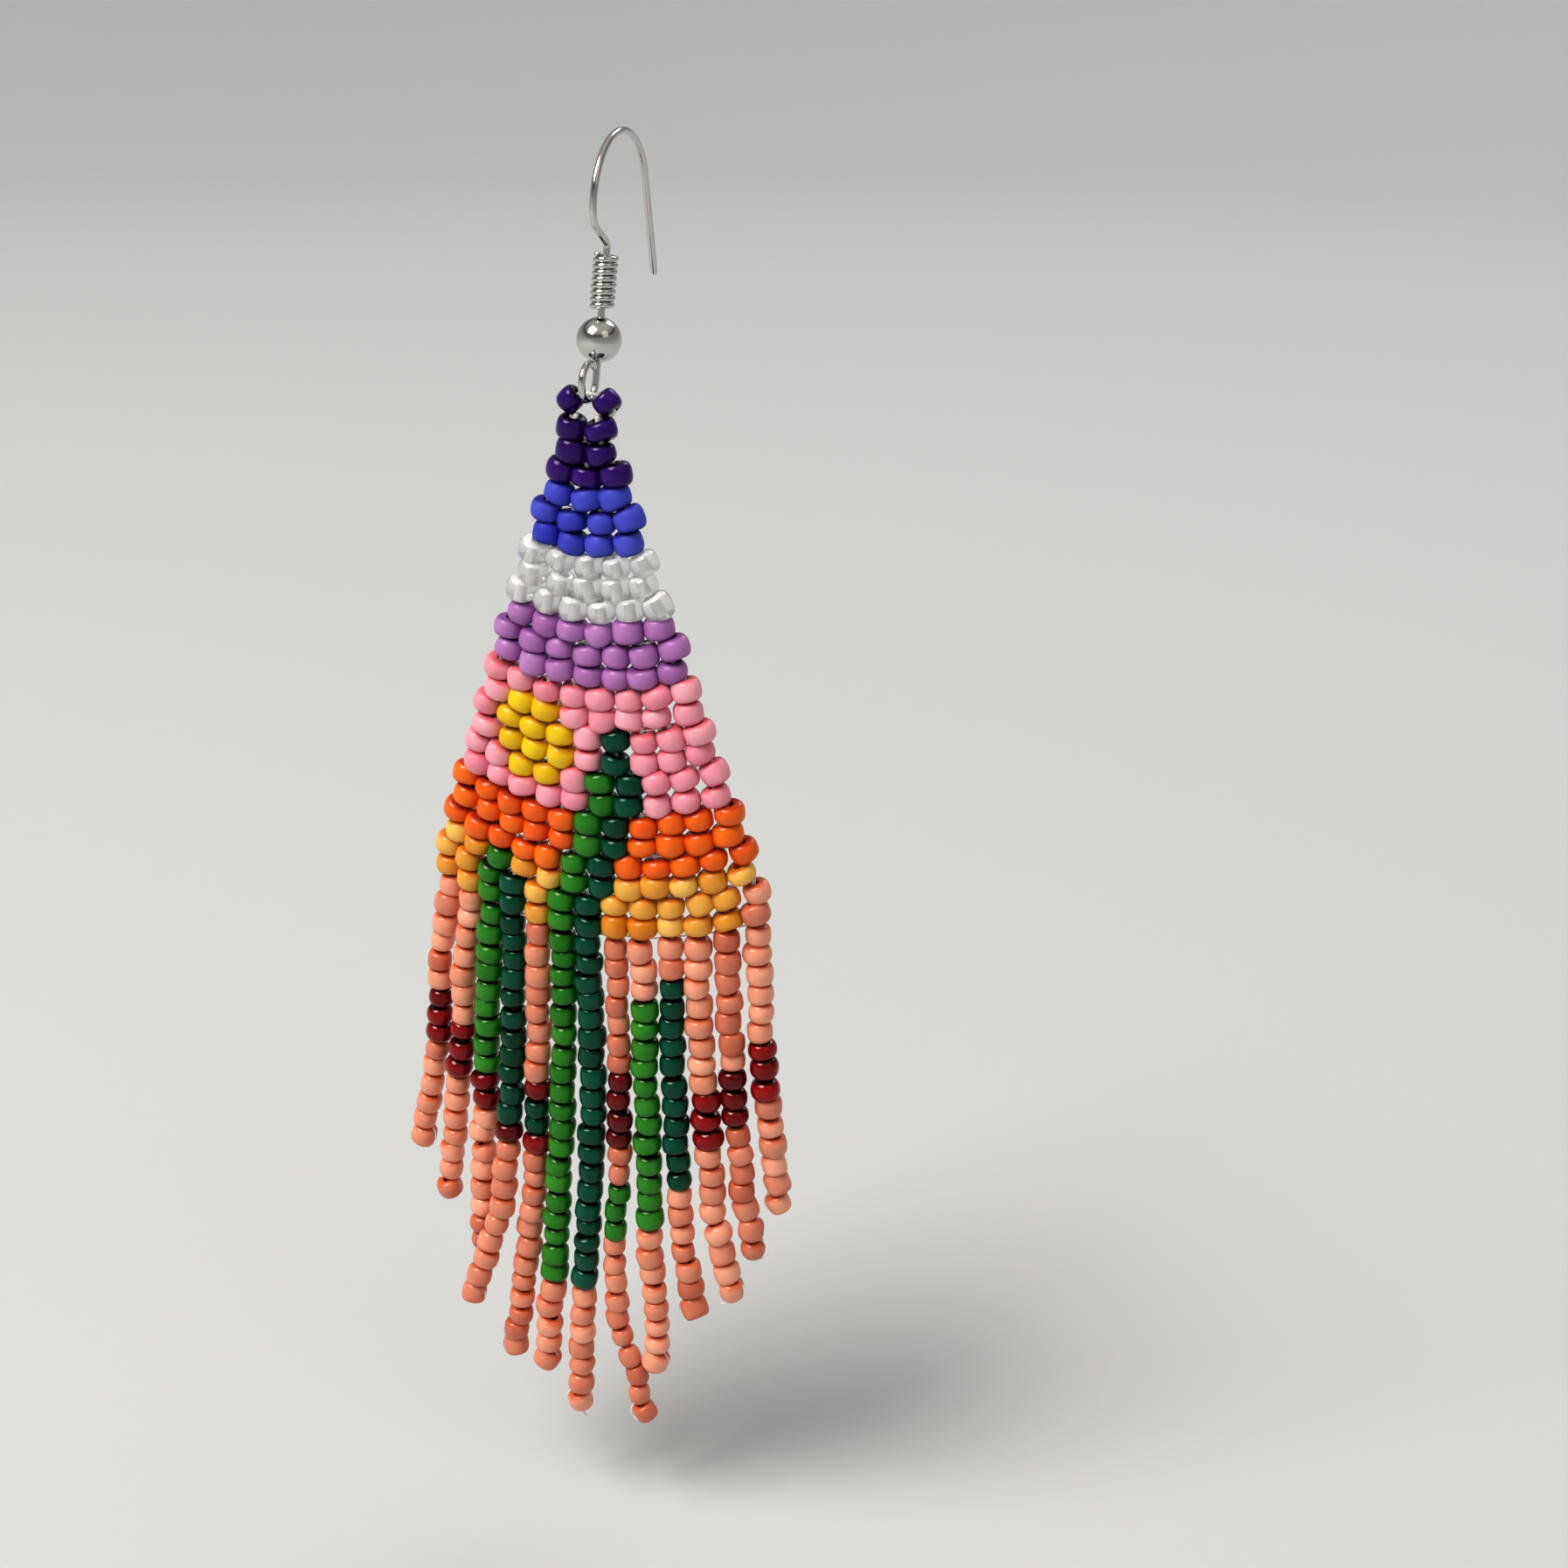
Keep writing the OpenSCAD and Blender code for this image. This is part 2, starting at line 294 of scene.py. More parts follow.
class Pile:
    # gathers many small shapes and makes them one joined mesh
    def __init__(self):
        self.points, self.faces, self.slots, self.count = [], [], [], 0
        self.marks = {"beadTone": [], "beadEndShadeGlow": []}

    def add(self, points, faces, slot=0, tone=0.5, endShadeGlow=None):
        self.faces += [tuple(corner + self.count for corner in face) for face in faces]
        self.points.append(np.asarray(points, float))
        self.slots += [slot] * len(faces)
        self.marks["beadTone"] += [tone] * len(points)
        self.marks["beadEndShadeGlow"] += [0.0] * len(points) if endShadeGlow is None else endShadeGlow
        self.count += len(points)

    def piece(self, name, materials, body, nodes, slotName):
        mesh = bpy.data.meshes.new(name)
        mesh.from_pydata((np.vstack(self.points) * mm).tolist(), [], self.faces)
        used = sorted(set(self.slots))
        for slot in used:
            mesh.materials.append(materials[slot])
        mesh.polygons.foreach_set("material_index", [used.index(slot) for slot in self.slots])
        mesh.polygons.foreach_set("use_smooth", [True] * len(self.faces))
        for mark, values in self.marks.items():
            mesh.attributes.new(mark, "FLOAT", "POINT").data.foreach_set("value", values)
        mesh.update()
        piece = bpy.data.objects.new(name, mesh)
        bpy.context.scene.collection.objects.link(piece)
        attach(piece, body)
        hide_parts(*nodes)


def ringFaces(rings, sides, closed):
    # quads between neighbouring rings of points, the last ring joined to the first when closed
    faces = []
    for ring in range(rings if closed else rings - 1):
        here, there = ring * sides, (ring + 1) % rings * sides
        for a in range(sides):
            b = (a + 1) % sides
            faces.append((here + a, here + b, there + b, there + a))
    return faces


def turned(profile, sides):
    # (radius, height) pairs turned round Z
    angles = [2 * math.pi * a / sides for a in range(sides)]
    return np.array([(r * math.cos(t), r * math.sin(t), z) for r, z in profile for t in angles])


def frameAlong(direction):
    # right-handed axes whose Z runs along a direction
    return np.array(Vector(direction).to_track_quat("Z", "Y").to_matrix())


def tube(path, radius, sides):
    # round tube with domed ends, whose section is carried along the path without twisting
    path = np.array(path, float)
    steps = np.gradient(path, axis=0)
    steps /= np.linalg.norm(steps, axis=1)[:, None]
    side = np.cross(steps[0], (0.3, 0.9, 0.2))
    places, headings, radii = list(path), list(steps), [radius] * len(path)
    for share in (0.92, 0.6):
        out = radius * math.sqrt(1 - share * share)
        places = [path[0] - steps[0] * out] + places + [path[-1] + steps[-1] * out]
        headings = [steps[0]] + headings + [steps[-1]]
        radii = [radius * share] + radii + [radius * share]
    rings = []
    for place, heading, r in zip(places, headings, radii):
        side = side - heading * np.dot(side, heading)
        side /= np.linalg.norm(side)
        other = np.cross(heading, side)
        rings += [
            place + r * (math.cos(t) * side + math.sin(t) * other)
            for t in (2 * math.pi * a / sides for a in range(sides))
        ]
    faces = ringFaces(len(places), sides, False)
    end = (len(places) - 1) * sides
    faces += [tuple(range(sides - 1, -1, -1)), tuple(range(end, end + sides))]
    return rings, faces


def smoothPath(points, steps=6):
    # Catmull-Rom curve through a few points
    points = [Vector(p) for p in points]
    points = [points[0] * 2 - points[1]] + points + [points[-1] * 2 - points[-2]]
    path = []
    for a, b, c, d in zip(points, points[1:], points[2:], points[3:]):
        for k in range(steps):
            t = k / steps
            curve = 2 * b + (c - a) * t + (2 * a - 5 * b + 4 * c - d) * t ** 2
            path.append(0.5 * (curve + (3 * b - a - 3 * c + d) * t ** 3))
    return path + [points[-2]]


# Seed beads

seedBead = {
    "width": 2.0,
    "height": 1.52,
    "bore": 0.6,
    "rim": 0.1,              # flat ring round the hole
    "sides": 24,
    "outerSteps": 12,
    "widthSpread": 0.035,
    "heightSpread": 0.05,
    "wedge": 0.07,           # one side taller than the other
    "oval": 0.02,
    "tilt": 5.5,             # degrees off the thread
    "wander": 0.06,
    "toneSpread": 0.16,
    "roundShare": 0.2,       # of the beads are rounder than the rest
    "endShadeGlowFrom": 0.62,         # where the painted end shade and glow begins, from the middle to the end
}
# Squareness of a bead's side: 2 is round, more is closer to a drum.
roundCut, panelCut, strandCut = 2.2, 2.8, 3.0
# Some colours run larger or smaller than the rest of the batch.
beadGrowth = {"redGlass": 1.08, "coralGlass": 0.98, "purpleGlass": 0.98}
spreadLimit = 2.2            # no chance draw goes further than this many times its usual spread


def beadProfile(squareness):
    inner = seedBead["bore"] / 2
    start = inner + seedBead["rim"]
    half = seedBead["height"] / 2
    outside = []
    for k in range(seedBead["outerSteps"]):
        t = math.pi * (k / (seedBead["outerSteps"] - 1) - 0.5)
        reach = abs(math.cos(t)) ** (2 / squareness)
        lift = math.copysign(abs(math.sin(t)) ** (2 / squareness), t)
        outside.append((start + (seedBead["width"] / 2 - start) * reach, half * lift))
    edge = seedBead["rim"] * 0.9  # rounding at the mouth of the hole
    hole = [(inner + edge * 0.3, half - edge * 0.25), (inner, half - edge)]
    return outside + hole + [(r, -z) for r, z in reversed(hole)]


def endShadeGlowShares(profile):
    # 0 on the bead's belly, rising to 1 at its ends and in its hole: the mask of the painted end shade
    # and glow
    shares = []
    start = seedBead["endShadeGlowFrom"]
    for k, (_, z) in enumerate(profile):
        share = min(1.0, max(0.0, (abs(z) * 2 / seedBead["height"] - start) / (1 - start)))
        mark = share * share * (3 - 2 * share) if k < seedBead["outerSteps"] else 1.0
        shares += [mark] * seedBead["sides"]
    return shares


beadCuts = (roundCut, panelCut, strandCut)
beadForms = {cut: turned(beadProfile(cut), seedBead["sides"]) for cut in beadCuts}
endShadeGlowMasks = {cut: endShadeGlowShares(beadProfile(cut)) for cut in beadCuts}
beadFaces = ringFaces(len(beadForms[roundCut]) // seedBead["sides"], seedBead["sides"], True)


def spread(share):
    return max(-spreadLimit, min(spreadLimit, random.gauss(0, 1))) * share


def addBead(pile, place, heading, colour, cut, size=1.0, tone=0.5, tilt=None, tall=None):
    # tall is the bead's height against the usual one, drawn by chance when it isn't given
    size *= beadGrowth.get(colour, 1.0)
    wide = size * (1 + spread(seedBead["widthSpread"]))
    tall = tall or size ** 0.5 * (1 + spread(seedBead["heightSpread"]))
    leanTo, ovalTo = random.uniform(0, 2 * math.pi), random.uniform(0, 2 * math.pi)
    cut = roundCut if random.random() < seedBead["roundShare"] or colour == "redGlass" else cut
    points = beadForms[cut].copy()
    angles = np.arctan2(points[:, 1], points[:, 0])
    points[:, :2] *= (wide * (1 + seedBead["oval"] * np.cos(2 * (angles - ovalTo))))[:, None]
    points[:, 2] *= tall * (1 + spread(seedBead["wedge"]) * np.cos(angles - leanTo))
    tilt = seedBead["tilt"] if tilt is None else tilt
    leanX = Matrix.Rotation(math.radians(spread(tilt)), 3, "X")
    leanY = Matrix.Rotation(math.radians(spread(tilt)), 3, "Y")
    axes = frameAlong(heading) @ np.array(leanX @ leanY)
    wander = [spread(seedBead["wander"]) for _ in range(3)]
    tone = max(0.0, min(1.0, tone + spread(beadLooks[colour].get("vary", seedBead["toneSpread"]))))
    points = points @ axes.T + np.array(place) + wander
    pile.add(points, beadFaces, beadColours.index(colour), tone, endShadeGlowMasks[cut])


# Hook

hookShape = {
    "wire": 0.5,
    "archRadius": 4.6,
    "archBackTurn": 75,      # degrees from the top of the arch to the straight tail
    "tailLength": 7,
    "browRadius": 1.4,       # the bend at the front, below the arch
    "browLength": 1.8,
    "kinkRadius": 0.5,       # the tight bend back above the coil
    "kinkTurn": 56,
    "stemLean": 13,
    "eyeWidth": 2.9,
    "eyeTurn": 300,
    "bendStep": 6,           # degrees between two points of the wire's path
}
coilShape = {
    "width": 1.7,
    "length": 3.8,
    "turns": 8,
    "wire": 0.41,
    "aboveBall": 0.4,
    "belowKink": 0.2,
    "stepsInTurn": 24,
}
ballShape = {
    "width": 3.0,
    "fromEye": 2.8,
    "roundShare": 0.93,      # of a full half circle, the rest is the flat at the holes
    "play": 0.05,            # of the hole round the wire
    "lip": 0.12,
}
wireRadius = hookShape["wire"] / 2
eyeRadius = hookShape["eyeWidth"] / 2 - wireRadius
ballRadius = ballShape["width"] / 2
coilFromBall = ballRadius + coilShape["aboveBall"]
stemLength = ballShape["fromEye"] + coilFromBall + coilShape["length"] + coilShape["belowKink"]
# Straight before the bend, radius of the bend, turn of the bend, from the top of the arch.
frontBends = [
    (0, hookShape["archRadius"], 90),
    (0, hookShape["browRadius"], hookShape["kinkTurn"]),
    (hookShape["browLength"], hookShape["kinkRadius"], -hookShape["kinkTurn"] - hookShape["stemLean"]),
    (stemLength, eyeRadius, -hookShape["eyeTurn"]),
]
# The same for the far side of the arch, walked as if it came forward and then mirrored.
backBends = [(0, hookShape["archRadius"], hookShape["archBackTurn"]), (hookShape["tailLength"], 0, 0)]


def walkBends(y, z, heading, bends):
    # bends a wire in the YZ plane, and notes the place and heading where each bend starts
    path, starts = [(0, y, z)], []
    for straight, radius, turn in bends:
        for share in (0.25, 0.5, 0.75, 1) if straight > 0 else ():
            h = math.radians(heading)
            path.append((0, y + straight * share * math.cos(h), z + straight * share * math.sin(h)))
        y, z = path[-1][1], path[-1][2]
        starts.append((y, z, heading))
        count = max(1, round(abs(turn) / hookShape["bendStep"]))
        side = math.copysign(1, turn)
        for k in range(count if turn else 0):
            a, b = math.radians(heading), math.radians(heading + turn / count)
            y += side * radius * (math.sin(b) - math.sin(a))
            z -= side * radius * (math.cos(b) - math.cos(a))
            heading += turn / count
            path.append((0, y, z))
    return path, starts


frontPath, frontStarts = walkBends(0, wireRadius, 180, frontBends)
backPath = [(x, -y, z) for x, y, z in walkBends(0, wireRadius, 180, backBends)[0]]
stemFoot = frontStarts[3]
stemDown = (0, math.cos(math.radians(stemFoot[2])), math.sin(math.radians(stemFoot[2])))


def onStem(fromEye):
    return tuple(foot - fromEye * down for foot, down in zip((0, stemFoot[0], stemFoot[1]), stemDown))


ballPlace = onStem(ballShape["fromEye"])
coilPlace = onStem(ballShape["fromEye"] + coilFromBall)
stemAxes = frameAlong([-d for d in stemDown])


def makeHook():
    wire = Pile()
    wire.add(*tube(backPath[:0:-1] + frontPath, wireRadius, 16))
    wire.piece("earWire", [silverMaterial], "hook", ["ear_hook"], "silver_wire")


def makeCoil():
    windingRadius = coilShape["wire"] / 2
    middle = coilShape["width"] / 2 - windingRadius
    rise = (coilShape["length"] - 2 * windingRadius) / coilShape["turns"]
    steps = coilShape["stepsInTurn"]
    path = []
    for k in range(coilShape["turns"] * steps + 1):
        t = 2 * math.pi * k / steps
        local = np.array((middle * math.cos(t), middle * math.sin(t), windingRadius + rise * k / steps))
        path.append(stemAxes @ local + coilPlace)
    coil = Pile()
    coil.add(*tube(path, windingRadius, 12))
    coil.piece("woundCoil", [silverMaterial], "hook", ["hook_coil"], "silver_wire")


def makeBall():
    bore = wireRadius + ballShape["play"]
    lip = ballShape["lip"]
    profile = []
    for k in range(25):
        t = math.pi * (k / 24 - 0.5) * ballShape["roundShare"]
        profile.append((ballRadius * math.cos(t), ballRadius * math.sin(t)))
    top = profile[-1][1]
    profile += [(bore + lip * 0.3, top - lip * 0.2), (bore, top - lip)]
    profile += [(bore, -top + lip), (bore + lip * 0.3, -top + lip * 0.2)]
    ball = Pile()
    ball.add(turned(profile, 48) @ stemAxes.T + np.array(ballPlace), ringFaces(len(profile), 48, True))
    ball.piece("hollowBall", [silverMaterial], "hook", ["hook_ball"], "silver_wire")


makeHook()
makeCoil()
makeBall()
print("hook made, ball at", [round(v, 2) for v in ballPlace])


# Drop: where everything is

eyeCentre = (
    stemFoot[0] + eyeRadius * math.sin(math.radians(stemFoot[2])),
    stemFoot[1] - eyeRadius * math.cos(math.radians(stemFoot[2])),
)
loopThreadRadius = 0.15
loopThreadGap = 0.05         # between the thread and the eye that it rests in
pivotHeight = eyeCentre[1] - eyeRadius + wireRadius + loopThreadGap + loopThreadRadius
pivot = np.array((0, eyeCentre[0], pivotHeight))

panelShape = {
    "beadWidth": 2.0,
    "beadHeight": 1.55,
    "curve": 32,             # radius that the panel curves round
    "rowRise": 0.5,          # how far the ends of the rows rise
    "apexHeight": 3.2,       # of the point above the first row that the rows bend round
    "drop": 2.35,            # first bead row below the pivot
    "forward": 0.35,
    "firstBeads": 2,
    "baseBeads": 13,
    "beadSize": 1.07,        # drawn a little full, so that neighbours meet
}
panelTop = pivot - np.array((0, panelShape["forward"], panelShape["drop"]))


def panelPlace(across, down):
    # across in mm from the panel's middle, down in beads from the first row
    turn = across / panelShape["curve"]
    depth = down * panelShape["beadHeight"]
    rise = panelShape["rowRise"] * across ** 2 / (depth + panelShape["apexHeight"])
    return panelTop + np.array((
        panelShape["curve"] * math.sin(turn),
        panelShape["curve"] * (1 - math.cos(turn)),
        rise - depth,
    ))


def panelUp(across, down):
    # square to the row, whose ends rise
    along = Vector(panelPlace(across + 0.5, down) - panelPlace(across - 0.5, down)).normalized()
    return Vector((0, 0, 1)) - along * along.z


def acrossOf(column, beads):
    return (column - (beads + 1) / 2) * panelShape["beadWidth"]


# Rows of beads from the top: the last row of each band and its colour.
bands = [
    (2, "purpleGlass"), (5, "blueGlass"), (8, "crystalGlass"), (11, "lavenderGlass"),
    (17, "pinkGlass"), (20, "orangeGlass"), (23, "goldenGlass"),
]
# Figures stitched over the bands: first row, last row, first column, last column, colour.
figures = [
    (13, 13, 2, 3, "yellowGlass"), (14, 15, 2, 4, "yellowGlass"), (16, 16, 3, 4, "yellowGlass"),
    (14, 15, 6, 6, "darkGreenGlass"),
    (16, 23, 6, 6, "lightGreenGlass"), (16, 23, 7, 7, "darkGreenGlass"),
    (21, 23, 3, 3, "lightGreenGlass"), (22, 23, 4, 4, "darkGreenGlass"),
    (22, 23, 13, 13, "coralGlass"),
]


def panelColour(row, column):
    colour = next(colour for last, colour in bands if row <= last)
    for firstRow, lastRow, firstColumn, lastColumn, figureColour in figures:
        if firstRow <= row <= lastRow and firstColumn <= column <= lastColumn:
            colour = figureColour
    return colour


# Strands from left to right: sideways sway at one, two and three quarters and at the end, backward sway
# at the end, and the runs of beads from the top.
fringe = [
    (-0.9, -1.3, -2.2, -3.2, 0.6, [(6, "coralGlass"), (3, "redGlass"), (6, "coralGlass")]),
    (-0.8, -1.1, -1.8, -2.5, 0.6, [(7, "coralGlass"), (3, "redGlass"), (7, "coralGlass")]),
    (-0.6, -0.8, -1.2, -1.4, 0.3, [(9, "lightGreenGlass"), (2, "redGlass"), (8, "coralGlass")]),
    (-0.2, -0.5, -1.1, -3.4, -1.5, [(11, "darkGreenGlass"), (1, "redGlass"), (9, "coralGlass")]),
    (-0.1, -0.4, -1.3, -2.4, 0.2, [(8, "coralGlass"), (1, "redGlass"), (2, "darkGreenGlass"),
                                   (1, "redGlass"), (12, "coralGlass")]),
    (0, -0.3, -0.8, -1.7, 0, [(19, "lightGreenGlass"), (5, "coralGlass")]),
    (0.2, 0.1, -0.5, -0.8, 0, [(19, "darkGreenGlass"), (7, "coralGlass")]),
    (0.3, 0.3, 0.1, 2.6, 0, [(7, "coralGlass"), (4, "redGlass"), (2, "coralGlass"),
                             (3, "lightGreenGlass"), (10, "coralGlass")]),
    (0.3, 0.5, 0.9, 1.3, 0, [(3, "coralGlass"), (12, "lightGreenGlass"), (8, "coralGlass")]),
    (0.3, 0.6, 1.1, 2.1, 0.2, [(2, "coralGlass"), (11, "darkGreenGlass"), (7, "coralGlass")]),
    (0.3, 0.7, 1.4, 3, 0.4, [(8, "coralGlass"), (3, "redGlass"), (8, "coralGlass")]),
    (0.4, 0.8, 1.5, 2.6, 0.4, [(7, "coralGlass"), (3, "redGlass"), (7, "coralGlass")]),
    (0.5, 1, 1.6, 2.2, 0.6, [(6, "coralGlass"), (3, "redGlass"), (6, "coralGlass")]),
]
# Size and paleness of each strand's beads: some strands took narrower beads, and the deeper tones of
# some strands are partly their own finish and partly painted shade, for strands that hang back in
# shadow.
strandSizes = (0.96, 0.98, 1.03, 0.99, 0.98, 0.99, 1.02, 0.88, 1.0, 0.96, 1.03, 0.96, 1.01)
strandTonesAndShade = (0.55, 0.6, 0.55, 0.25, 0.35, 0.5, 0.6, 0.3, 0.7, 0.45, 0.8, 0.25, 0.7)
strandShape = {
    "gap": 0.12,             # between the panel and the strand's first bead
    "fullness": 1.02,        # drawn a little tall, so that neighbours meet
    "stray": 0.07,           # how far a bead strays sideways from the one above
    "tilt": 3,               # degrees off the thread at the top
    "looseness": 6,          # and how much more towards the end
    "pullAcross": 0.5,       # of the thread on the stop bead
    "pullBack": 0.4,
}
baseRow = 2 * (panelShape["baseBeads"] - panelShape["firstBeads"]) + 1.5  # the panel's lower edge
strandSlots = {
    "coralGlass": "coral_glass",
    "lightGreenGlass": "light_green_glass",
    "darkGreenGlass": "dark_green_glass",
}


def swayAt(sways, share):
    # smooth curve through the five sways of a strand
    k = min(int(share * 4), 3)
    t = share * 4 - k
    a, b = sways[k], sways[k + 1]
    slopeA = (b - sways[max(k - 1, 0)]) / 2
    slopeB = (sways[min(k + 2, 4)] - a) / 2
    square = 3 * (b - a) - 2 * slopeA - slopeB
    cube = 2 * (a - b) + slopeA + slopeB
    return a + t * slopeA + t ** 2 * square + t ** 3 * cube


def strandPlace(number, share):
    *sways, back, runs = fringe[number - 1]
    length = sum(count for count, _ in runs) * panelShape["beadHeight"]
    drop = strandShape["gap"] + (length - strandShape["gap"]) * share
    start = panelPlace(acrossOf(number, panelShape["baseBeads"]), baseRow)
    return start + np.array((swayAt([0] + sways, share), back * share * share, -drop))


def stopPull(number):
    # which way the thread's turn round the last bead pulls it, across and back, other on each strand
    return math.sin(number * 2.3), math.cos(number * 1.3)


# Drop: beads

loopBead = {"out": 1.27, "below": 0.45, "lean": 45, "size": 0.93}


def makeLoopBead(side, name, node):
    pile = Pile()
    lean = math.radians(loopBead["lean"])
    place = pivot + np.array((side * loopBead["out"], 0, -loopBead["below"]))
    heading = (-side * math.sin(lean), 0, math.cos(lean))
    addBead(pile, place, heading, "purpleGlass", panelCut, loopBead["size"], 0.5, 1)
    pile.piece(name, beadMaterials, "drop", [node], "purple_glass")


def makePanel():
    pile = Pile()
    for beads in range(panelShape["firstBeads"], panelShape["baseBeads"] + 1):
        for column in range(1, beads + 1):
            for below in (0, 1):
                row = 2 * (beads - panelShape["firstBeads"]) + below
                across = acrossOf(column, beads)
                place, up = panelPlace(across, row), panelUp(across, row)
                addBead(pile, place, up, panelColour(row, column), panelCut, panelShape["beadSize"])
    pile.piece("stitchedPanel", beadMaterials, "drop", ["bead_panel"], "pink_glass")


def makeStrand(number):
    colours = [colour for count, colour in fringe[number - 1][5] for _ in range(count)]
    # the strand's tone holds its paleness and also painted shade for strands that hang back
    size, tone = strandSizes[number - 1], strandTonesAndShade[number - 1]
    pile = Pile()
    sideways = 0
    # each bead sits on the one below, however tall the two are
    heights = [1 + spread(seedBead["heightSpread"]) for _ in colours]
    joints = [sum(heights[:k]) / sum(heights) for k in range(len(colours) + 1)]
    pitch = panelShape["beadHeight"] * strandShape["fullness"] / seedBead["height"] * len(colours)
    for k, colour in enumerate(colours):
        middle = (joints[k] + joints[k + 1]) / 2
        above, here, below = (strandPlace(number, share) for share in (joints[k], middle, joints[k + 1]))
        sideways = 0.5 * sideways + spread(strandShape["stray"])
        here[0] += sideways
        heading = Vector(above - below).normalized()
        if k == len(colours) - 1:
            # the thread turns round the outside of the last bead and pulls it askew
            across, back = stopPull(number)
            heading += Vector((strandShape["pullAcross"] * across, strandShape["pullBack"] * back, 0))
        tall = pitch * (joints[k + 1] - joints[k])
        tilt = strandShape["tilt"] + strandShape["looseness"] * k / len(colours)
        addBead(pile, here, heading, colour, strandCut, size, tone, tilt, tall)
    slotName = strandSlots[max(set(colours), key=colours.count)]
    pile.piece("strand%dBeads" % number, beadMaterials, "drop", ["strand_%d" % number], slotName)


makeLoopBead(-1, "loopBeadLeft", "loop_bead_left")
makeLoopBead(1, "loopBeadRight", "loop_bead_right")
makePanel()
for number in range(1, len(fringe) + 1):
    makeStrand(number)
print("beads made")


# Thread

threadShape = {
    "pass": 0.06,            # radius of each pass
    "stitchCore": 0.22,      # of the passes that share a bead's hole in the panel
    "strandCore": 0.1,       # the same in a strand, where fewer passes lie close
    "tails": (7, 9, 11),     # strands whose thread end still shows
}


def beadBottom(across, down):
    return Vector(panelPlace(across, down)) - Vector(panelUp(across, down)) * (seedBead["height"] / 2)


def makeLoopThread():
    pile = Pile()
    lean = math.radians(loopBead["lean"])
    half = seedBead["height"] / 2
    for side in (-1, 1):
        out, below = loopBead["out"], -loopBead["below"]
        # from the eye through the loop bead and down into the panel's first stitch
        route = [
            (0, 0, 0),
            (0.62, 0, -0.07),
            (out, 0, below),
            (out + half * math.sin(lean), 0, below - half * math.cos(lean)),
            (1.5, -0.1, -1.35),
            (1.12, -0.3, -1.62),
            (1.0, -0.35, -2.2),
        ]
        path = [Vector(pivot) + Vector((side * x, y, z)) for x, y, z in smoothPath(route)]
        pile.add(*tube(path, loopThreadRadius, 8))
    pile.piece("loopThread", [threadMaterial], "drop", ["loop_thread"], "clear_thread")


def makeStitchThread():
    # the passes down each stitch, the bridges under each row, and the loops that hang the next row there
    pile = Pile()
    half = seedBead["height"] / 2
    for beads in range(panelShape["firstBeads"], panelShape["baseBeads"] + 1):
        row = 2 * (beads - panelShape["firstBeads"])
        for column in range(1, beads + 1):
            across = acrossOf(column, beads)
            up = Vector(panelUp(across, row))
            top = Vector(panelPlace(across, row)) + up * (half + 0.02)
            foot = beadBottom(across, row + 1)
            clear = panelColour(row, column) == "crystalGlass"
            core = threadShape["pass" if clear else "stitchCore"]
            pile.add(*tube([top, top.lerp(foot, 0.5), foot], core, 6))
            if row:
                # loop over the bridge above, its two legs leaning as the hand left them
                turn = 0.3 * math.copysign(1, spread(1))
                legs = [(-0.13, 0, -0.1), (-0.12, turn * 0.5, 0.12), (0, turn, 0.24),
                        (0.12, turn * 0.5, 0.12), (0.13, 0, -0.1)]
                path = smoothPath([top + Vector(leg) for leg in legs], 3)
                pile.add(*tube(path, threadShape["pass"], 6))
            if column < beads:
                last = beadBottom(acrossOf(column + 1, beads), row + 1)
                dip = Vector((0, spread(0.08), -0.1 + spread(0.04)))
                inside = Vector((0, 0, 0.1))
                route = [foot + inside, foot.lerp(last, 0.2) + dip,
                         foot.lerp(last, 0.8) + dip, last + inside]
                pile.add(*tube(smoothPath(route, 3), threadShape["pass"], 6))
    pile.piece("stitchThread", [threadMaterial], "drop", ["bead_panel"], "clear_thread")


def makeStrandThread():
    pile = Pile()
    for number in range(1, len(fringe) + 1):
        start = Vector(panelPlace(acrossOf(number, panelShape["baseBeads"]), baseRow))
        start += Vector((0, 0, 0.5))
        path = [start] + [Vector(strandPlace(number, k / 16)) for k in range(16)]
        pile.add(*tube(path, threadShape["strandCore"], 6))
        # the turn round the stop bead, and on some strands the end of the thread
        beads = sum(count for count, _ in fringe[number - 1][5])
        end = Vector(strandPlace(number, 1 - 0.5 / beads))
        side = math.copysign(1, stopPull(number)[0])
        turn = [(0, 0, 0.75), (0, 0, -0.5), (side * 0.3, -0.1, -0.85), (side * 0.95, -0.2, -0.4),
                (side * 1.02, -0.2, 0.3), (side * 0.6, -0.1, 0.78), (0, 0, 0.8)]
        pile.add(*tube(smoothPath([end + Vector(p) for p in turn], 4), threadShape["pass"], 6))
        if number in threadShape["tails"]:
            tail = [(0, 0, 0.2), (side * -0.1, 0, -0.8), (side * -0.35, -0.1, -1.25),
                    (side * -0.8, -0.1, -1.45)]
            pile.add(*tube(smoothPath([end + Vector(p) for p in tail], 4), threadShape["pass"], 6))
    pile.piece("strandThread", [threadMaterial], "drop", ["bead_panel"], "clear_thread")


makeLoopThread()
makeStitchThread()
makeStrandThread()
print("thread made")


# Floor and light

stageSetup = {
    "floorBelow": 8.0,       # mm of air under the longest strand
    "floorColour": "#C4C6C8",
    "flatReach": 700,        # mm of level floor round the earring
    "sweepRadius": 600,      # of the floor's curve up into the wall
    "sweepSteps": 16,
    "wallHeight": 120,
    "sides": 96,
    "dimColour": "#262422",
    "dimUpTo": 0.3,          # height on the tent, from 0 at the floor's level to 1 overhead
    "skyColour": "#FFFDF8",
    "skyFrom": 0.9,
    "skyStrength": 0.43,
}
# Name, place in mm, size in mm, power in watts, colour.
lights = [
    ("windowLight", (-400, -520, 860), 600, 9.3, "#FFFBF4"),
    ("fillLight", (640, -360, 560), 500, 0.34, "#FFF6EA"),
    ("backLight", (160, 760, 620), 420, 1.4, "#FFFFFF"),
]


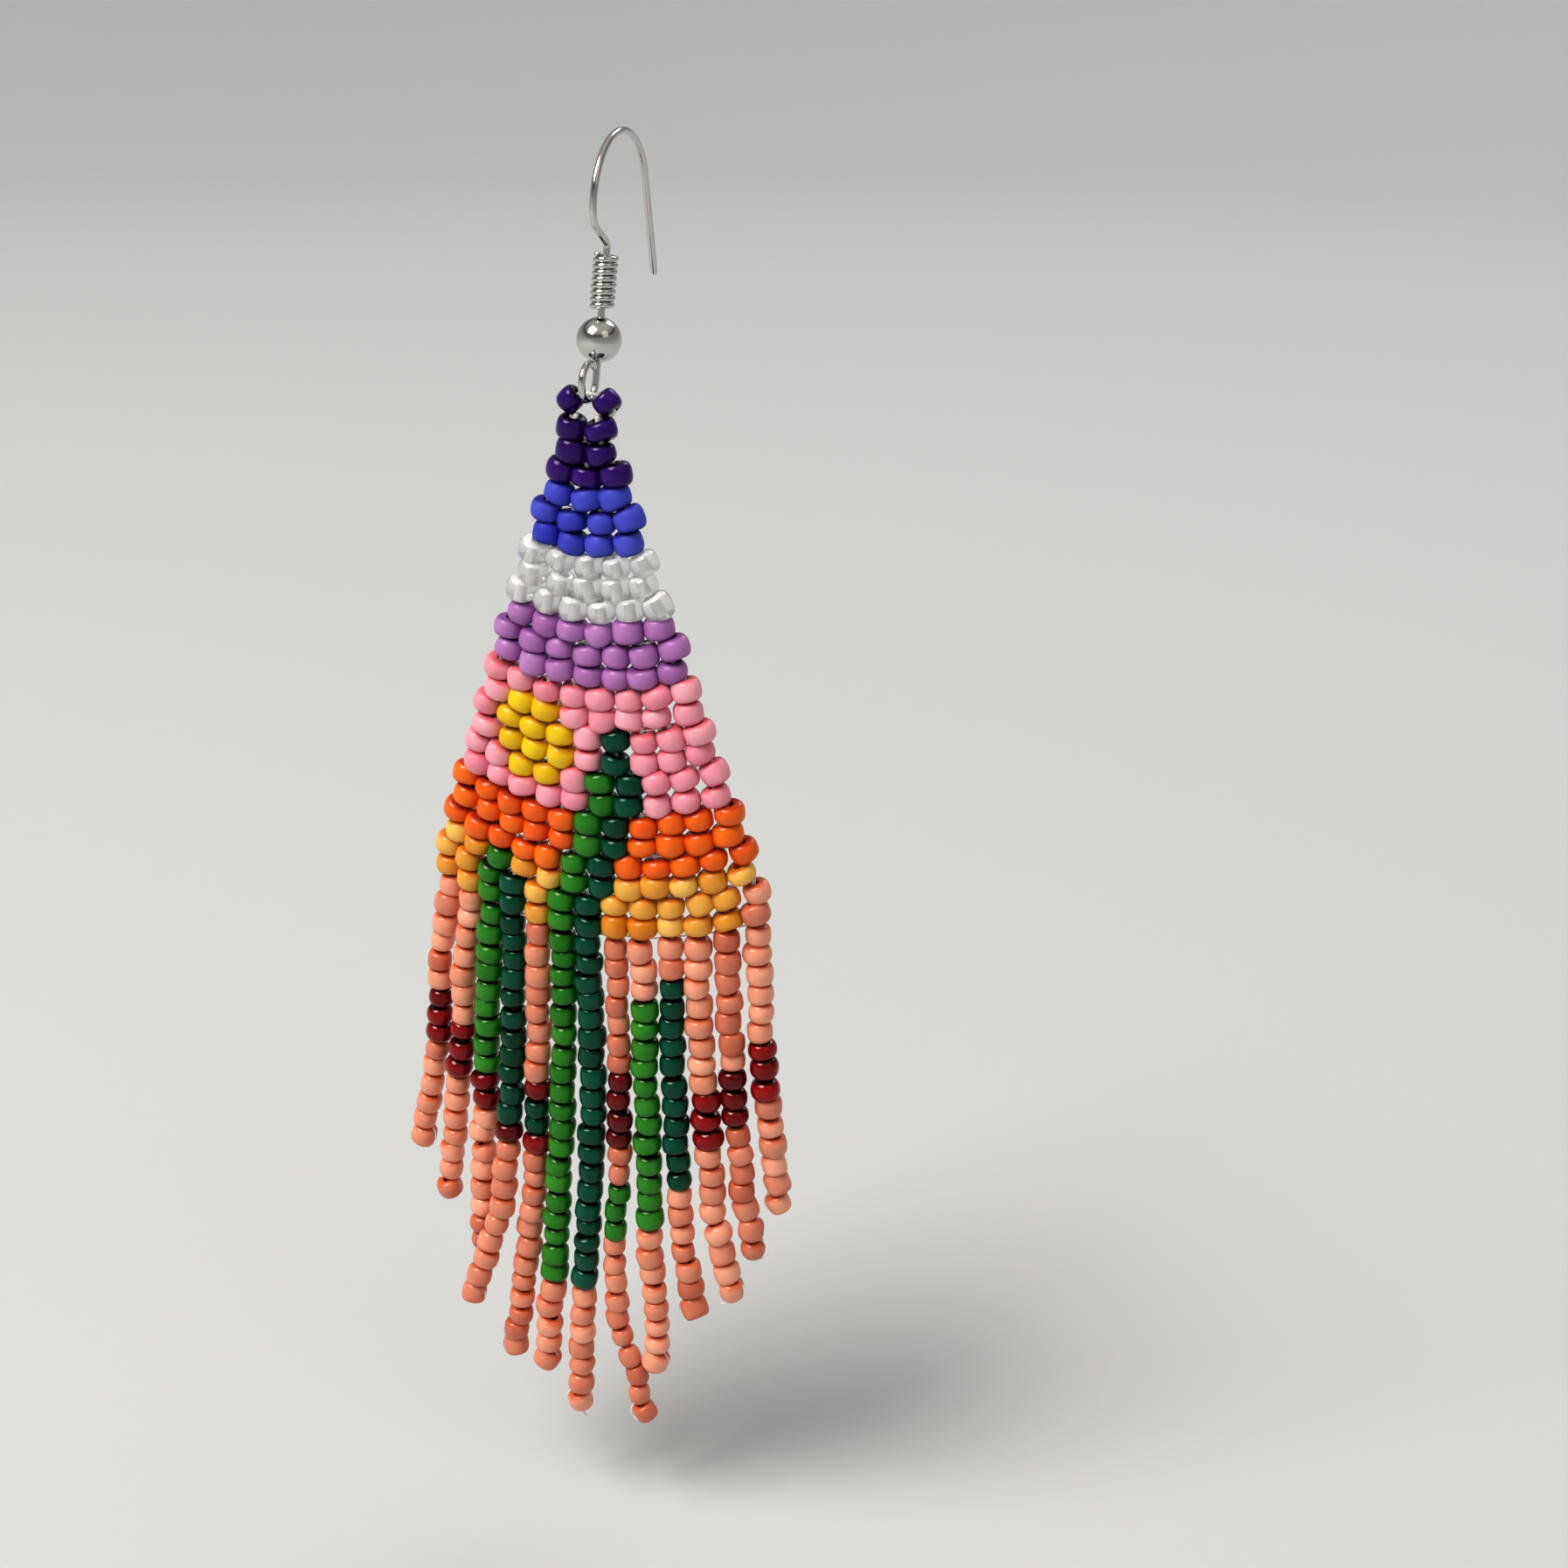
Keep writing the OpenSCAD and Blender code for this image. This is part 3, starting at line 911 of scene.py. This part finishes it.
def makeStage():
    # a round paper floor that sweeps up into a wall, so that no edge shows from any side
    low = cadBox[0][2] / mm - stageSetup["floorBelow"]
    flat, sweep, sides = (stageSetup[k] for k in ("flatReach", "sweepRadius", "sides"))
    profile = [(flat + sweep, low + sweep + stageSetup["wallHeight"])]
    for k in range(stageSetup["sweepSteps"], -1, -1):
        t = math.pi / 2 * k / stageSetup["sweepSteps"]
        profile.append((flat + sweep * math.sin(t), low + sweep * (1 - math.cos(t))))
    profile.append((10, low))
    middle = (len(profile) - 1) * sides
    faces = ringFaces(len(profile), sides, False) + [tuple(range(middle, middle + sides))]
    mesh = bpy.data.meshes.new("floor")
    mesh.from_pydata((turned(profile, sides) * mm).tolist(), [], faces)
    mesh.polygons.foreach_set("use_smooth", [True] * len(faces))
    material, tree = newMaterial("matteCard")
    card = addNode(tree, "ShaderNodeBsdfPrincipled",
                   {"Base Color": hexColour(stageSetup["floorColour"]), "Roughness": 0.8})
    addNode(tree, "ShaderNodeOutputMaterial", links={"Surface": card.outputs[0]})
    mesh.materials.append(material)
    floor = bpy.data.objects.new("floor", mesh)
    bpy.context.scene.collection.objects.link(floor)
    # soft tent overhead that dims towards its sides, so that the silver has something dark to show
    world = bpy.data.worlds.new("softTent")
    world.use_nodes = True
    tree = world.node_tree
    tree.nodes.clear()
    way = addNode(tree, "ShaderNodeTexCoord").outputs["Generated"]
    height = addNode(tree, "ShaderNodeSeparateXYZ", links={0: way}).outputs["Z"]
    share = addNode(tree, "ShaderNodeMapRange",
                    {"interpolation_type": "SMOOTHSTEP",
                     "From Min": stageSetup["dimUpTo"], "From Max": stageSetup["skyFrom"]},
                    {"Value": height})
    dim, bright = hexColour(stageSetup["dimColour"]), hexColour(stageSetup["skyColour"])
    sky = addNode(tree, "ShaderNodeMix", {"data_type": "RGBA", 6: dim, 7: bright}, {0: share.outputs[0]})
    light = addNode(tree, "ShaderNodeBackground", {"Strength": stageSetup["skyStrength"]},
                    {"Color": sky.outputs[2]})
    addNode(tree, "ShaderNodeOutputWorld", links={"Surface": light.outputs[0]})
    bpy.context.scene.world = world
    target = (cadBox[0] + cadBox[1]) / 2
    for name, place, size, power, colour in lights:
        data = bpy.data.lights.new(name, "AREA")
        data.size = size * mm
        data.energy = power
        data.color = hexColour(colour)[:3]
        light = bpy.data.objects.new(name, data)
        light.location = Vector(place) * mm
        light.rotation_euler = (target - light.location).to_track_quat("-Z", "Y").to_euler()
        bpy.context.scene.collection.objects.link(light)
    bpy.context.scene.view_settings.view_transform = "Standard"
    bpy.context.scene.view_settings.look = "High Contrast"


makeStage()
print("stage made")
